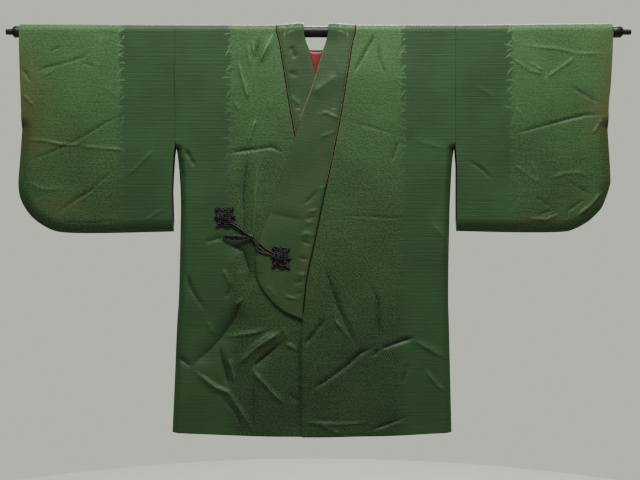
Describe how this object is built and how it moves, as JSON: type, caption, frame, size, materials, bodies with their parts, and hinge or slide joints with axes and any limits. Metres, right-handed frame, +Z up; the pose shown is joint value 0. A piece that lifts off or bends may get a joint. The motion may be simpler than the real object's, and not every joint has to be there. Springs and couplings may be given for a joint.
{
  "type": "dochugi coat on a hanging rod",
  "caption": "Thigh-length crossover Japanese coat with wide rounded sleeves, a flared collar band and a knotted cord fastener, hung flat on a round rod.",
  "frame": {"origin": "on the rod's axis, midway between the two sleeves' outer ends", "axes": "+X along the rod to the wearer's left, -Y out of the front of the coat, +Z up"},
  "size_m": [1.3838, 0.048, 0.912],
  "materials": {
    "coat_silk": "figured silk with a soft sheen",
    "band_silk": "ribbed silk with a soft sheen",
    "lining_silk": "plain red silk",
    "piping_silk": "dark red-brown piping",
    "braid": "near-black round braid",
    "black_paint": "satin black paint"
  },
  "bodies": {
    "root": {"body_right": "coat_silk", "body_left": "coat_silk", "sleeve_right": "coat_silk", "sleeve_left": "coat_silk", "collar": "band_silk", "piping_right": "piping_silk", "piping_left": "piping_silk", "lining_back": "lining_silk", "knot_right": "braid", "knot_left": "braid", "button_ball": "braid", "cord_right_upper": "braid", "cord_right_lower": "braid", "cord_left_upper": "braid", "cord_left_lower": "braid", "cord_tail": "braid", "rod_tube": "black_paint", "rod_end_right": "black_paint", "rod_end_left": "black_paint"}
  },
  "joints": []
}
